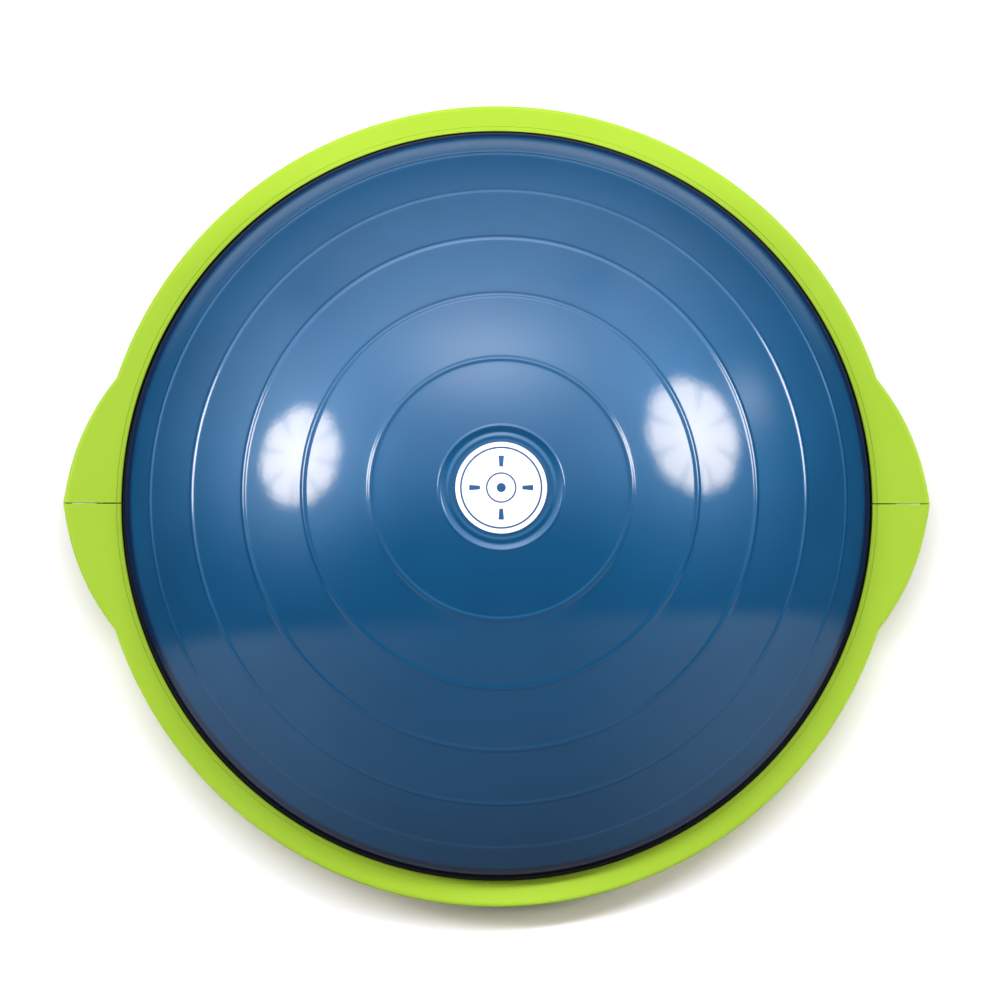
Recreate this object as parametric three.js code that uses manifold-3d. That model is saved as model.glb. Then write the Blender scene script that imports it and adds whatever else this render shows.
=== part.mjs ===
// Balance dome trainer: an air-filled dome held on a round platform by a rim in two halves,
// each half carrying half of the grip on either side.
// Millimetres, +Z up. The origin is on the floor under the middle of the dome; the grips lie along X.
import * as THREE from "three";
import { mergeVertices } from "three/addons/utils/BufferGeometryUtils.js";
import Module from "manifold-3d";

const wasm = await Module();
wasm.setup();

// ---- Driving dimensions ----

const fitGap = 0.3; // between pieces that touch
const roundSides = 48; // sides of every large ring, alike so that nested rings keep their gaps
const overrun = 5; // how far a cutter runs past the face it cuts

// Rim
const rimInnerRadius = 250; // edge of the top lip, around the dome
const rimWidth = 17.5; // from that edge to the outside of the rim
const rimWall = 4;
const topLipThickness = 4;
const topEdgeBevel = 3;
const tongueWidth = 4; // the top lip's inner edge, turned down onto the dome's flange
const tongueBevel = 1.5;
const lowerLipThickness = 4.5;
const lowerLipWidth = 11.5;
const seamGap = 0.8; // between the two halves, across both grips

// Grips
const gripReach = 21.6; // past the rim's outside
const gripHalfLength = 84;
const gripWall = 3.2;
const gripSkirtHeight = 26; // down from the rim's top
const gripSteps = 14; // points along a grip's edge
const gripTaper = 0.39; // share of the edge's fall that is straight, which makes the tip pointed
const gripFullness = 2.5; // power of the rest of its fall

// Platform
const feetProud = 3; // the feet's height below the deck
const deckThickness = 3.5;
const lipRecess = 2; // the rim's lower lip, up from the deck's underside
const edgeWall = 4;
const flangeThickness = 5;
const edgeGap = 1; // between the flanges and the rim's wall
const ribThickness = 2.5;
const ribCount = 8;
const hoopRibRadius = 120;
const hoopRibSides = 24;
const skirtWall = 3;
const skirtHeight = 9.4; // the upper shell's skirt, between the lower shell's flange and the plate
const plateThickness = 4;

// Bladder
const domeRise = 170; // crown over the rim's top
const kneeRise = 5; // where the side wall starts to curve, over the rim's top
const knuckleRadius = 60;
const lipClearance = 2.5; // dark gap between the side wall and the top lip
const bladderWall = 3;
const domeFlangeThickness = 2.4; // welded to the base and held down by the rim's tongue
const baseThickness = 3;
const beadWidth = 7; // thick edge of the base, held in the rim's channel
const beadHeight = 12.9;
const recessRadius = 34.5; // floor of the round recess on the crown
const recessRamp = 6;
const recessDepth = 1.6;
const badgeRadius = 28.2;
const badgeThickness = 0.8;
const crownSteps = 6;
const knuckleSteps = 4;

// Valve
const plugRadius = 4.2;
const plugPlay = 0.3;
const seatWall = 4.2;
const seatFlangeWidth = 4.3;
const seatFlangeThickness = 2;
const seatFit = 0.5; // between the seat's neck and the shells' holes
const plugFlangeRadius = 7.5;
const plugFlangeThickness = 2.7;
const plugTipTaper = 1.2;
const plugTipLength = 2;
const plugInset = 2; // how far the pull tab stays inside the deck's underside
const pullTabThickness = 3;
const pocketRadius = 24;
const pocketWall = 3;
const pocketDepth = 10;
const neckProud = 0.5; // the seat's neck, up inside the pocket's ceiling hole

// Screws
const shankRadius = 2;
const headRadius = 3.9;
const headHeight = 2;
const headSink = 0.3; // head below the surface that it is sunk into
const screwTip = 2;
const screwSides = 8;
const holeSides = 8;
const bossWall = 2.2; // plastic around a screw's pilot hole
const rimScrewCount = 12;
const rimScrewEngagement = 7.4;
const shellScrewCount = 8;
const shellScrewCircle = 150;
const shellPostHeight = 9.5; // the lower shell's posts, over the deck
const shellScrewEngagement = 9;

// Feet
const footCount = 8;
const footCircle = 215;
const footRadius = 14;
const footBevel = 1.2;
const footSeatDepth = 1.5;
const footPegRadius = 3.5;
const footBarb = 1.1;
const footBarbLength = 2.2;
const footSides = 12;

// ---- Levels and radii that follow ----

const deckBottom = feetProud;
const deckTop = deckBottom + deckThickness;
const lowerLipBottom = deckBottom + lipRecess;
const lowerLipTop = lowerLipBottom + lowerLipThickness;
const flangeBottom = lowerLipTop + fitGap;
const flangeTop = flangeBottom + flangeThickness;
const skirtBottom = flangeTop + fitGap;
const plateBottom = skirtBottom + skirtHeight;
const plateTop = plateBottom + plateThickness;
const bladderBottom = plateTop + fitGap;
const floorTop = bladderBottom + baseThickness;
const domeBottom = floorTop + fitGap;
const domeFlangeTop = domeBottom + domeFlangeThickness;
const tongueBottom = domeFlangeTop + fitGap;
const beadTop = bladderBottom + beadHeight;
const topLipBottom = beadTop + fitGap;
const rimTop = topLipBottom + topLipThickness;
const kneeZ = rimTop + kneeRise;
const crownZ = rimTop + domeRise;

const rimOuterRadius = rimInnerRadius + rimWidth;
const channelRadius = rimOuterRadius - rimWall;
const lowerLipRadius = channelRadius - lowerLipWidth;
const edgeRadius = lowerLipRadius - fitGap;
const flangeRadius = channelRadius - edgeGap;
const rimScrewCircle = (lowerLipRadius + channelRadius) / 2;
const wallRadius = rimInnerRadius - lipClearance;

// The crown's sphere touches the knuckle's arc, and its top is at crownZ.
const knuckleCentre = wallRadius - knuckleRadius;
const kneeToCrown = crownZ - kneeZ;
const crownRadius =
  (knuckleCentre ** 2 + kneeToCrown ** 2 - knuckleRadius ** 2) /
  (2 * (kneeToCrown - knuckleRadius));
const crownCentreZ = crownZ - crownRadius;
const blendAngle = Math.atan2(kneeZ - crownCentreZ, knuckleCentre);

const boreRadius = plugRadius + plugPlay;
const neckRadius = boreRadius + seatWall;
const pocketCeiling = deckBottom + pocketDepth;
const neckBottom = pocketCeiling + neckProud;
const holeRadius = shankRadius + fitGap;
const counterboreRadius = headRadius + fitGap;
const counterboreDepth = headSink + headHeight + fitGap;
const postRadius = counterboreRadius + bossWall;

// ---- Shape tools ----

// A closed geometry as a manifold-3d solid, with its faces turned outwards.
function solidOf(geometry) {
  const bare = geometry.clone();
  bare.deleteAttribute("normal");
  bare.deleteAttribute("uv");
  const merged = mergeVertices(bare, 1e-4);
  const position = merged.getAttribute("position");
  const index = merged.index.array;
  const [a, b, c] = [new THREE.Vector3(), new THREE.Vector3(), new THREE.Vector3()];
  const kept = [];
  let volume = 0;
  for (let i = 0; i < index.length; i += 3) {
    const corners = [index[i], index[i + 1], index[i + 2]];
    if (new Set(corners).size < 3) continue;
    kept.push(corners);
    [a, b, c].forEach((corner, k) => corner.fromBufferAttribute(position, corners[k]));
    volume += a.dot(b.cross(c));
  }
  const outward = volume < 0 ? kept.map(([p, q, r]) => [p, r, q]) : kept;
  return new wasm.Manifold(
    new wasm.Mesh({
      numProp: 3,
      vertProperties: position.array,
      triVerts: new Uint32Array(outward.flat()),
    }),
  );
}

// A closed outline of [radius, z] points turned about Z.
function revolve(outline, sides = roundSides) {
  const points = [...outline, outline[0]].map(([r, z]) => new THREE.Vector2(r, z));
  return solidOf(new THREE.LatheGeometry(points, sides).rotateX(Math.PI / 2));
}

function cylinder(radius, bottom, top, sides, x = 0, y = 0) {
  const outline = [[0, bottom], [radius, bottom], [radius, top], [0, top]];
  return revolve(outline, sides).translate([x, y, 0]);
}

function ring(inner, outer, bottom, top, sides = roundSides) {
  return revolve([[inner, bottom], [outer, bottom], [outer, top], [inner, top]], sides);
}

function box(low, high) {
  const size = high.map((value, i) => value - low[i]);
  const middle = high.map((value, i) => (value + low[i]) / 2);
  return solidOf(new THREE.BoxGeometry(...size).translate(...middle));
}

// Points on an arc in the [radius, z] plane.
function arc(centreR, centreZ, radius, from, to, steps) {
  return Array.from({ length: steps + 1 }, (_, i) => {
    const angle = from + ((to - from) * i) / steps;
    return [centreR + radius * Math.cos(angle), centreZ + radius * Math.sin(angle)];
  });
}

// Places around Z at one radius. The first is half a step from the +X axis.
function around(count, radius) {
  return Array.from({ length: count }, (_, i) => {
    const angle = ((i + 0.5) / count) * 2 * Math.PI;
    return [radius * Math.cos(angle), radius * Math.sin(angle)];
  });
}

function subtractAll(solid, cutters) {
  return cutters.reduce((left, cutter) => left.subtract(cutter), solid);
}

function addAll(solid, extras) {
  return extras.reduce((joined, extra) => joined.add(extra), solid);
}

const part = new THREE.Group();

function addNode(name, solid, material) {
  const { vertProperties, triVerts } = solid.getMesh();
  const geometry = new THREE.BufferGeometry();
  geometry.setAttribute("position", new THREE.BufferAttribute(vertProperties, 3));
  geometry.setIndex(new THREE.BufferAttribute(triVerts, 1));
  geometry.computeVertexNormals();
  const mesh = new THREE.Mesh(geometry, material);
  mesh.name = name;
  part.add(mesh);
}

function plastic(color, roughness) {
  return new THREE.MeshStandardMaterial({ color, roughness, metalness: 0 });
}

const materials = {
  bladder: plastic(0x2f6ca3, 0.22),
  rim: plastic(0xb8e452, 0.5),
  badge: plastic(0xfafaf7, 0.4),
  platform: plastic(0x2c2f34, 0.6),
  rubber: plastic(0x17181a, 0.85),
  valve: plastic(0xd4d6d8, 0.5),
  screw: new THREE.MeshStandardMaterial({ color: 0xb4b7bb, roughness: 0.35, metalness: 1 }),
};

// ---- Bladder and badge ----

// Height of a sphere that lies `inset` under the crown, at radius r.
function crownHeight(r, inset) {
  return crownCentreZ + Math.sqrt((crownRadius - inset) ** 2 - r ** 2);
}

// The dome's curve from its side wall up to the recess, `inset` inside the outer surface.
function domeCurve(inset) {
  const edge = Math.acos((recessRadius + recessRamp) / (crownRadius - inset));
  const knuckle = arc(knuckleCentre, kneeZ, knuckleRadius - inset, 0, blendAngle, knuckleSteps);
  const crown = arc(0, crownCentreZ, crownRadius - inset, blendAngle, edge, crownSteps);
  return [...knuckle, ...crown.slice(1)];
}

function recessCurve(inset) {
  const under = inset + recessDepth;
  return [[recessRadius, crownHeight(recessRadius, under)], [0, crownHeight(0, under)]];
}

function bladderDome() {
  const flange = flangeRadius - beadWidth - fitGap;
  const outside = [
    [flange, domeBottom],
    [flange, domeFlangeTop],
    [wallRadius, domeFlangeTop],
    ...domeCurve(0),
    ...recessCurve(0),
  ];
  const inside = [...domeCurve(bladderWall), ...recessCurve(bladderWall)].reverse();
  return revolve([...outside, ...inside, [wallRadius - bladderWall, domeBottom]]);
}

function bladderBase() {
  return revolve([
    [neckRadius + fitGap, bladderBottom],
    [flangeRadius, bladderBottom],
    [flangeRadius, beadTop],
    [flangeRadius - beadWidth, beadTop],
    [flangeRadius - beadWidth, floorTop],
    [neckRadius + fitGap, floorTop],
  ]);
}

function topBadge() {
  const under = recessDepth - fitGap;
  const over = under - badgeThickness;
  const half = badgeRadius / 2;
  return revolve([
    [0, crownHeight(0, under)],
    [half, crownHeight(half, under)],
    [badgeRadius, crownHeight(badgeRadius, under)],
    [badgeRadius, crownHeight(badgeRadius, over)],
    [half, crownHeight(half, over)],
    [0, crownHeight(0, over)],
  ]);
}

// ---- Valve ----

const plugTop = floorTop + fitGap + seatFlangeThickness;

function valveSeat() {
  const flange = neckRadius + seatFlangeWidth;
  const bottom = floorTop + fitGap;
  return revolve([
    [boreRadius, neckBottom],
    [neckRadius, neckBottom],
    [neckRadius, bottom],
    [flange, bottom],
    [flange, bottom + seatFlangeThickness],
    [boreRadius, bottom + seatFlangeThickness],
  ], footSides);
}

function valvePlug() {
  const flangeTopZ = neckBottom - fitGap;
  const flangeBottomZ = flangeTopZ - plugFlangeThickness;
  const stem = revolve([
    [0, flangeBottomZ],
    [plugFlangeRadius, flangeBottomZ],
    [plugFlangeRadius, flangeTopZ],
    [plugRadius, flangeTopZ],
    [plugRadius, plugTop - plugTipLength],
    [plugRadius - plugTipTaper, plugTop],
    [0, plugTop],
  ], footSides);
  const tabHalf = plugFlangeRadius * 0.9;
  const tab = box(
    [-tabHalf, -pullTabThickness / 2, deckBottom + plugInset],
    [tabHalf, pullTabThickness / 2, flangeBottomZ + plugFlangeThickness / 2],
  );
  return stem.add(tab);
}

// ---- Platform ----

function lowerShell() {
  const seatHole = neckRadius + seatFit;
  const ribTop = plateBottom - fitGap;
  const shell = revolve([
    [seatHole, pocketCeiling],
    [pocketRadius, pocketCeiling],
    [pocketRadius, deckBottom],
    [edgeRadius, deckBottom],
    [edgeRadius, flangeBottom],
    [flangeRadius, flangeBottom],
    [flangeRadius, flangeTop],
    [edgeRadius - edgeWall, flangeTop],
    [edgeRadius - edgeWall, deckTop],
    [pocketRadius + pocketWall, deckTop],
    [pocketRadius + pocketWall, pocketCeiling + pocketWall],
    [seatHole, pocketCeiling + pocketWall],
  ]);
  const rib = box(
    [pocketRadius + pocketWall / 2, -ribThickness / 2, deckTop - deckThickness / 2],
    [edgeRadius - edgeWall / 2, ribThickness / 2, ribTop],
  );
  const ribs = Array.from({ length: ribCount }, (_, i) => rib.rotate([0, 0, (i * 360) / ribCount]));
  const hoopInner = hoopRibRadius - ribThickness / 2;
  const hoopOuter = hoopRibRadius + ribThickness / 2;
  const hoop = ring(hoopInner, hoopOuter, deckTop - deckThickness / 2, ribTop, hoopRibSides);
  const screwPlaces = around(shellScrewCount, shellScrewCircle);
  const posts = screwPlaces.map(([x, y]) =>
    cylinder(postRadius, deckTop - deckThickness / 2, deckTop + shellPostHeight, holeSides, x, y));
  const screwHoles = screwPlaces.flatMap(([x, y]) => [
    cylinder(counterboreRadius, deckBottom - overrun, deckBottom + counterboreDepth, holeSides, x, y),
    cylinder(holeRadius, deckBottom, deckTop + shellPostHeight + overrun, holeSides, x, y),
  ]);
  const footHoles = around(footCount, footCircle).flatMap(([x, y]) => [
    cylinder(footRadius + fitGap, deckBottom - overrun, deckBottom + footSeatDepth, footSides, x, y),
    cylinder(footPegRadius + fitGap, deckBottom, deckTop + overrun, footSides, x, y),
  ]);
  const rimScrewHoles = around(rimScrewCount, rimScrewCircle).map(([x, y]) =>
    cylinder(holeRadius, flangeBottom - overrun, flangeTop + overrun, holeSides, x, y));
  return subtractAll(
    addAll(shell, [...ribs, hoop, ...posts]),
    [...screwHoles, ...footHoles, ...rimScrewHoles],
  );
}

function upperShell() {
  const shell = revolve([
    [neckRadius + seatFit, plateBottom],
    [rimScrewCircle - skirtWall / 2, plateBottom],
    [rimScrewCircle - skirtWall / 2, skirtBottom],
    [rimScrewCircle + skirtWall / 2, skirtBottom],
    [rimScrewCircle + skirtWall / 2, plateBottom],
    [flangeRadius, plateBottom],
    [flangeRadius, plateTop],
    [neckRadius + seatFit, plateTop],
  ]);
  const bossRadius = holeRadius + bossWall;
  const inPlate = plateBottom + plateThickness / 2;
  const postBottom = deckTop + shellPostHeight + fitGap;
  const rimScrewPlaces = around(rimScrewCount, rimScrewCircle);
  const shellScrewPlaces = around(shellScrewCount, shellScrewCircle);
  const rimBosses = rimScrewPlaces.map(([x, y]) =>
    cylinder(bossRadius, skirtBottom, inPlate, holeSides, x, y));
  const shellPosts = shellScrewPlaces.map(([x, y]) =>
    cylinder(bossRadius, postBottom, inPlate, holeSides, x, y));
  const rimPilots = rimScrewPlaces.map(([x, y]) =>
    cylinder(holeRadius, skirtBottom - overrun, rimScrewTop + fitGap, holeSides, x, y));
  const shellPilots = shellScrewPlaces.map(([x, y]) =>
    cylinder(holeRadius, postBottom - overrun, shellScrewTop + fitGap, holeSides, x, y));
  return subtractAll(
    addAll(shell, [...rimBosses, ...shellPosts]),
    [...rimPilots, ...shellPilots],
  );
}

// ---- Rim ----

// A grip's edge in plan, `inset` inside its outer face, as [x, y] points on the +X side.
function gripEdge(inset) {
  const root = Math.sqrt(rimOuterRadius ** 2 - gripHalfLength ** 2);
  const depth = rimOuterRadius + gripReach - root;
  return Array.from({ length: gripSteps + 1 }, (_, i) => {
    const t = (2 * i) / gripSteps - 1;
    const share = Math.abs(t);
    const fall = gripTaper * share + (1 - gripTaper) * share ** gripFullness;
    const steepness = gripTaper + (1 - gripTaper) * gripFullness * share ** (gripFullness - 1);
    const slope = (-Math.sign(t) * steepness * depth) / gripHalfLength;
    const length = Math.hypot(1, slope);
    const x = root + depth * (1 - fall) - inset / length;
    return [x, t * gripHalfLength + (inset * slope) / length];
  });
}

function gripBlock(inset, bottom, top, bevel) {
  const edge = gripEdge(inset);
  const inner = rimInnerRadius * Math.cos(Math.asin(gripHalfLength / rimOuterRadius)) - overrun;
  const shape = new THREE.Shape(
    [[inner, edge[0][1]], ...edge, [inner, edge[gripSteps][1]]].map(([x, y]) => new THREE.Vector2(x, y)),
  );
  const depth = top - bottom - bevel;
  const options = {
    depth,
    bevelEnabled: bevel > 0,
    bevelThickness: bevel,
    bevelSize: bevel,
    bevelOffset: -bevel,
    bevelSegments: 1,
  };
  return solidOf(new THREE.ExtrudeGeometry(shape, options).translate(0, 0, bottom));
}

function wholeRim() {
  const hoop = revolve([
    [lowerLipRadius, lowerLipBottom],
    [rimOuterRadius, lowerLipBottom],
    [rimOuterRadius, rimTop - topEdgeBevel],
    [rimOuterRadius - topEdgeBevel, rimTop],
    [rimInnerRadius + tongueBevel, rimTop],
    [rimInnerRadius, rimTop - tongueBevel],
    [rimInnerRadius, tongueBottom],
    [rimInnerRadius + tongueWidth, tongueBottom],
    [rimInnerRadius + tongueWidth, topLipBottom],
    [channelRadius, topLipBottom],
    [channelRadius, lowerLipTop],
    [lowerLipRadius, lowerLipTop],
  ]);
  const skirtEnd = rimTop - gripSkirtHeight;
  const insideWall = cylinder(rimOuterRadius - rimWall / 2, 0, crownZ, roundSides);
  const insideRim = cylinder(rimOuterRadius, 0, crownZ, roundSides);
  const belowSkirt = box(
    [0, -rimOuterRadius, skirtEnd - gripSkirtHeight],
    [2 * rimOuterRadius, rimOuterRadius, skirtEnd],
  );
  const grip = gripBlock(0, skirtEnd - topEdgeBevel - overrun, rimTop, topEdgeBevel)
    .subtract(belowSkirt)
    .subtract(insideWall);
  const fingerRoom = gripBlock(gripWall, skirtEnd - overrun, topLipBottom, 0).subtract(insideRim);
  const hollowGrip = grip.subtract(fingerRoom);
  const rim = hoop.add(hollowGrip).add(hollowGrip.rotate([0, 0, 180]));
  const holes = around(rimScrewCount, rimScrewCircle).flatMap(([x, y]) => [
    cylinder(holeRadius, lowerLipBottom - overrun, lowerLipTop + overrun, holeSides, x, y),
    cylinder(
      counterboreRadius,
      lowerLipBottom - overrun,
      lowerLipBottom + counterboreDepth,
      holeSides,
      x,
      y,
    ),
  ]);
  return subtractAll(rim, holes);
}

// One half of the rim: side is 1 for the half towards +Y, -1 for the half towards -Y.
function rimHalf(rim, side) {
  const far = 2 * rimOuterRadius;
  const near = seamGap / 2;
  const low = [-far, side > 0 ? near : -far, 0];
  const high = [far, side > 0 ? far : -near, crownZ];
  return rim.intersect(box(low, high));
}

// ---- Screws and feet ----

const rimScrewBottom = lowerLipBottom + headSink;
const rimScrewTop = skirtBottom + rimScrewEngagement;
const shellScrewBottom = deckBottom + headSink;
const shellScrewTop = deckTop + shellPostHeight + fitGap + shellScrewEngagement;

function screw(bottom, top) {
  return revolve([
    [0, bottom],
    [headRadius, bottom],
    [headRadius, bottom + headHeight],
    [shankRadius, bottom + headHeight],
    [shankRadius, top - screwTip],
    [0, top],
  ], screwSides);
}

function foot() {
  const bodyTop = deckBottom + footSeatDepth - fitGap;
  const barbBottom = deckTop + fitGap;
  return revolve([
    [0, 0],
    [footRadius - footBevel, 0],
    [footRadius, footBevel],
    [footRadius, bodyTop],
    [footPegRadius, bodyTop],
    [footPegRadius, barbBottom],
    [footPegRadius + footBarb, barbBottom],
    [footPegRadius, barbBottom + footBarbLength],
    [0, barbBottom + footBarbLength],
  ], footSides);
}

// ---- Assembly ----

addNode("bladder_dome", bladderDome(), materials.bladder);
addNode("bladder_base", bladderBase(), materials.bladder);
addNode("top_badge", topBadge(), materials.badge);
addNode("valve_seat", valveSeat(), materials.valve);
addNode("valve_plug", valvePlug(), materials.valve);
addNode("platform_lower_shell", lowerShell(), materials.platform);
addNode("platform_upper_shell", upperShell(), materials.platform);

const rim = wholeRim();
addNode("rim_half_front", rimHalf(rim, -1), materials.rim);
addNode("rim_half_rear", rimHalf(rim, 1), materials.rim);

const rimScrew = screw(rimScrewBottom, rimScrewTop);
around(rimScrewCount, rimScrewCircle).forEach(([x, y], i) => {
  addNode(`rim_screw_${i + 1}`, rimScrew.translate([x, y, 0]), materials.screw);
});

const shellScrew = screw(shellScrewBottom, shellScrewTop);
around(shellScrewCount, shellScrewCircle).forEach(([x, y], i) => {
  addNode(`shell_screw_${i + 1}`, shellScrew.translate([x, y, 0]), materials.screw);
});

const rubberFoot = foot();
around(footCount, footCircle).forEach(([x, y], i) => {
  addNode(`foot_${i + 1}`, rubberFoot.translate([x, y, 0]), materials.rubber);
});

export default part;
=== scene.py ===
"""Balance dome trainer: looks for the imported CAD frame. Metres, +Z up, grips along X."""

import math

import bmesh
import bpy
from mathutils import Matrix, Vector


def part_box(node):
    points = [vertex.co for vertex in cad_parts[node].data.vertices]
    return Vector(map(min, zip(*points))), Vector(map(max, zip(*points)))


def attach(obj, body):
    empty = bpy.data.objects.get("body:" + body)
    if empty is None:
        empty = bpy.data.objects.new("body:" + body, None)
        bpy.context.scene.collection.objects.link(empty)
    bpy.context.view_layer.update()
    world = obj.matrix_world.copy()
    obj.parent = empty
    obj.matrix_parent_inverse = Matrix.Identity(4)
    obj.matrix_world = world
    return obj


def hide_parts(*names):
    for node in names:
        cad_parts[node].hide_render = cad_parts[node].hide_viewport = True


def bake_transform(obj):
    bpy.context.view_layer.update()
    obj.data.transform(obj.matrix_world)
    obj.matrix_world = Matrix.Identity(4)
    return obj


MM = 0.001

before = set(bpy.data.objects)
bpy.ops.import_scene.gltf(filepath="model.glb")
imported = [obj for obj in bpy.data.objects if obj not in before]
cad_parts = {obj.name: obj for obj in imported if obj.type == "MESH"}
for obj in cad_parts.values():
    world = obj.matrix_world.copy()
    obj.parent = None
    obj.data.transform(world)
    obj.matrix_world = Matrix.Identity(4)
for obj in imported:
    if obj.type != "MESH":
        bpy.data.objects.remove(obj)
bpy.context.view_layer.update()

# ---- Sizes from the frame ----

rim_low, rim_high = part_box("rim_half_rear")
dome_low, dome_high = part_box("bladder_dome")
badge_low, badge_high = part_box("top_badge")
foot_low, foot_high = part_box("foot_1")

RIM_TOP = rim_high.z
RIM_BOTTOM = rim_low.z
RIM_OUTER = rim_high.y
GRIP_REACH = rim_high.x - RIM_OUTER
SEAM = rim_low.y

# ---- Sizes of the moulded shapes, as in the CAD model ----

RIM_WIDTH = 17.5 * MM
RIM_WALL = 4 * MM
TOP_LIP = 4 * MM
TONGUE_WIDTH = 4 * MM
LIP_STEP = 3.4 * MM
LIP_STEP_WIDTH = 0.3 * MM
LIP_DROP = 0.3 * MM
TONGUE_DEPTH = 7.2 * MM
LOWER_LIP = 4.5 * MM
LOWER_LIP_WIDTH = 11.5 * MM
GRIP_HALF_LENGTH = 84 * MM
GRIP_WALL = 3.2 * MM
GRIP_SKIRT = 26 * MM
GRIP_TAPER = 0.39
GRIP_FULLNESS = 2.5
DOME_RISE = 170 * MM
KNEE_RISE = 5 * MM
KNUCKLE_RADIUS = 60 * MM
LIP_CLEARANCE = 2.5 * MM
BLADDER_WALL = 3 * MM
DOME_FLANGE = 2.4 * MM
WALL_FOOT = 4.4 * MM
RECESS_RADIUS = 34.5 * MM
RECESS_RAMP = 4 * MM
RECESS_DEPTH = 1.2 * MM
BADGE_THICKNESS = 0.5 * MM

RIM_INNER = RIM_OUTER - RIM_WIDTH
WALL_RADIUS = RIM_INNER - LIP_CLEARANCE
KNEE_Z = RIM_TOP + KNEE_RISE
CROWN_Z = RIM_TOP + DOME_RISE
KNUCKLE_CENTRE = WALL_RADIUS - KNUCKLE_RADIUS
KNEE_TO_CROWN = CROWN_Z - KNEE_Z
CROWN_RADIUS = (KNUCKLE_CENTRE**2 + KNEE_TO_CROWN**2 - KNUCKLE_RADIUS**2) / (
    2 * (KNEE_TO_CROWN - KNUCKLE_RADIUS)
)
CROWN_CENTRE_Z = CROWN_Z - CROWN_RADIUS
BLEND_ANGLE = math.atan2(KNUCKLE_CENTRE, KNEE_Z - CROWN_CENTRE_Z)

# ---- Rings moulded on the dome, measured along its surface from the top ----

RING_PITCH = 45.2 * MM
RING_FIRST = 82.2 * MM
RING_COUNT = 5
RING_HALF_WIDTH = 2.7 * MM
RING_HEIGHT = 0.55 * MM
HUB_RING_PLACE = 32.4 * MM
HUB_RING_HALF_WIDTH = 2.3 * MM
HUB_RING_HEIGHT = 0.32 * MM
LIP_RING_HALF_WIDTH = 1.5 * MM
LIP_RING_HEIGHT = 0.3 * MM

# ---- How finely meshes are made ----

ROUND_STEPS = 320
SEAT_STEPS = 96
FOOT_STEPS = PLUG_STEPS = 64
CUT_STEPS = 48
SCREW_STEPS = 40
CREASE = math.radians(32)
SCREW_CREASE = math.radians(40)
FOOT_CREASE = math.radians(28)
TINY = 1e-6

# Points that round to the same place on a grid this fine are one point.
POINTS_PER_METRE = 1e7


# ---- Mesh tools ----


def link(mesh, name):
    piece = bpy.data.objects.new(name, mesh)
    bpy.context.scene.collection.objects.link(piece)
    return piece


def shade(mesh, crease=CREASE):
    """Smooth faces, with sharp edges where two faces meet at more than the crease angle."""
    work = bmesh.new()
    work.from_mesh(mesh)
    for face in work.faces:
        face.smooth = True
    for edge in work.edges:
        edge.smooth = len(edge.link_faces) != 2 or edge.calc_face_angle(0) < crease
    work.to_mesh(mesh)
    work.free()


def mesh_from_rows(name, rows, cap_ends=False, wrap=False, crease=CREASE):
    """Joins closed loops of points into a tube of quads. Points that coincide become one."""
    work = bmesh.new()
    verts = {}

    def vert(point):
        key = tuple(round(value * POINTS_PER_METRE) for value in point)
        if key not in verts:
            verts[key] = work.verts.new(point)
        return verts[key]

    def face(corners):
        unique = []
        for corner in corners:
            if corner not in unique:
                unique.append(corner)
        if len(unique) > 2 and not work.faces.get(unique):
            work.faces.new(unique)

    grid = [[vert(point) for point in row] for row in rows]
    pairs = list(zip(grid, grid[1:]))
    if wrap:
        pairs.append((grid[-1], grid[0]))
    for first, second in pairs:
        count = len(first)
        for i in range(count):
            j = (i + 1) % count
            face([first[i], first[j], second[j], second[i]])
    if cap_ends:
        face(grid[0])
        face(grid[-1])
    bmesh.ops.recalc_face_normals(work, faces=work.faces[:])
    mesh = bpy.data.meshes.new(name)
    work.to_mesh(mesh)
    work.free()
    shade(mesh, crease)
    return mesh


def revolve(name, outline, steps=ROUND_STEPS, centre=(0.0, 0.0), crease=CREASE):
    """A closed outline of (radius, z) points turned about a vertical axis."""
    rows = []
    for step in range(steps):
        turn = 2 * math.pi * step / steps
        cos, sin = math.cos(turn), math.sin(turn)
        rows.append([(centre[0] + r * cos, centre[1] + r * sin, z) for r, z in outline])
    return link(mesh_from_rows(name, rows, wrap=True, crease=crease), name)


def arc(centre_r, centre_z, radius, start, end, steps):
    """Points (r, z) on an arc, angles from the +r axis."""
    points = []
    for i in range(steps + 1):
        turn = start + (end - start) * i / steps
        points.append((centre_r + radius * math.cos(turn), centre_z + radius * math.sin(turn)))
    return points


def smooth_step(value):
    value = min(1.0, max(0.0, value))
    return value * value * (3 - 2 * value)


# ---- The dome ----


def dome_point(along, inset=0.0):
    """Point and outward direction on the dome, `along` its surface from the top."""
    crown_length = CROWN_RADIUS * BLEND_ANGLE
    if along <= crown_length:
        tilt = along / CROWN_RADIUS
        out = (math.sin(tilt), math.cos(tilt))
        radius = CROWN_RADIUS - inset
        return (radius * out[0], CROWN_CENTRE_Z + radius * out[1]), out
    tilt = BLEND_ANGLE + (along - crown_length) / KNUCKLE_RADIUS
    out = (math.sin(tilt), math.cos(tilt))
    radius = KNUCKLE_RADIUS - inset
    return (KNUCKLE_CENTRE + radius * out[0], KNEE_Z + radius * out[1]), out


# The side wall bulges a little over the clamp, so it curves back in below the knee.
TUCK_ANGLE = math.asin((KNEE_Z - dome_low.z - WALL_FOOT) / KNUCKLE_RADIUS)
KNUCKLE_ANGLE = math.pi / 2 + TUCK_ANGLE - BLEND_ANGLE
DOME_LENGTH = CROWN_RADIUS * BLEND_ANGLE + KNUCKLE_RADIUS * KNUCKLE_ANGLE

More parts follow.
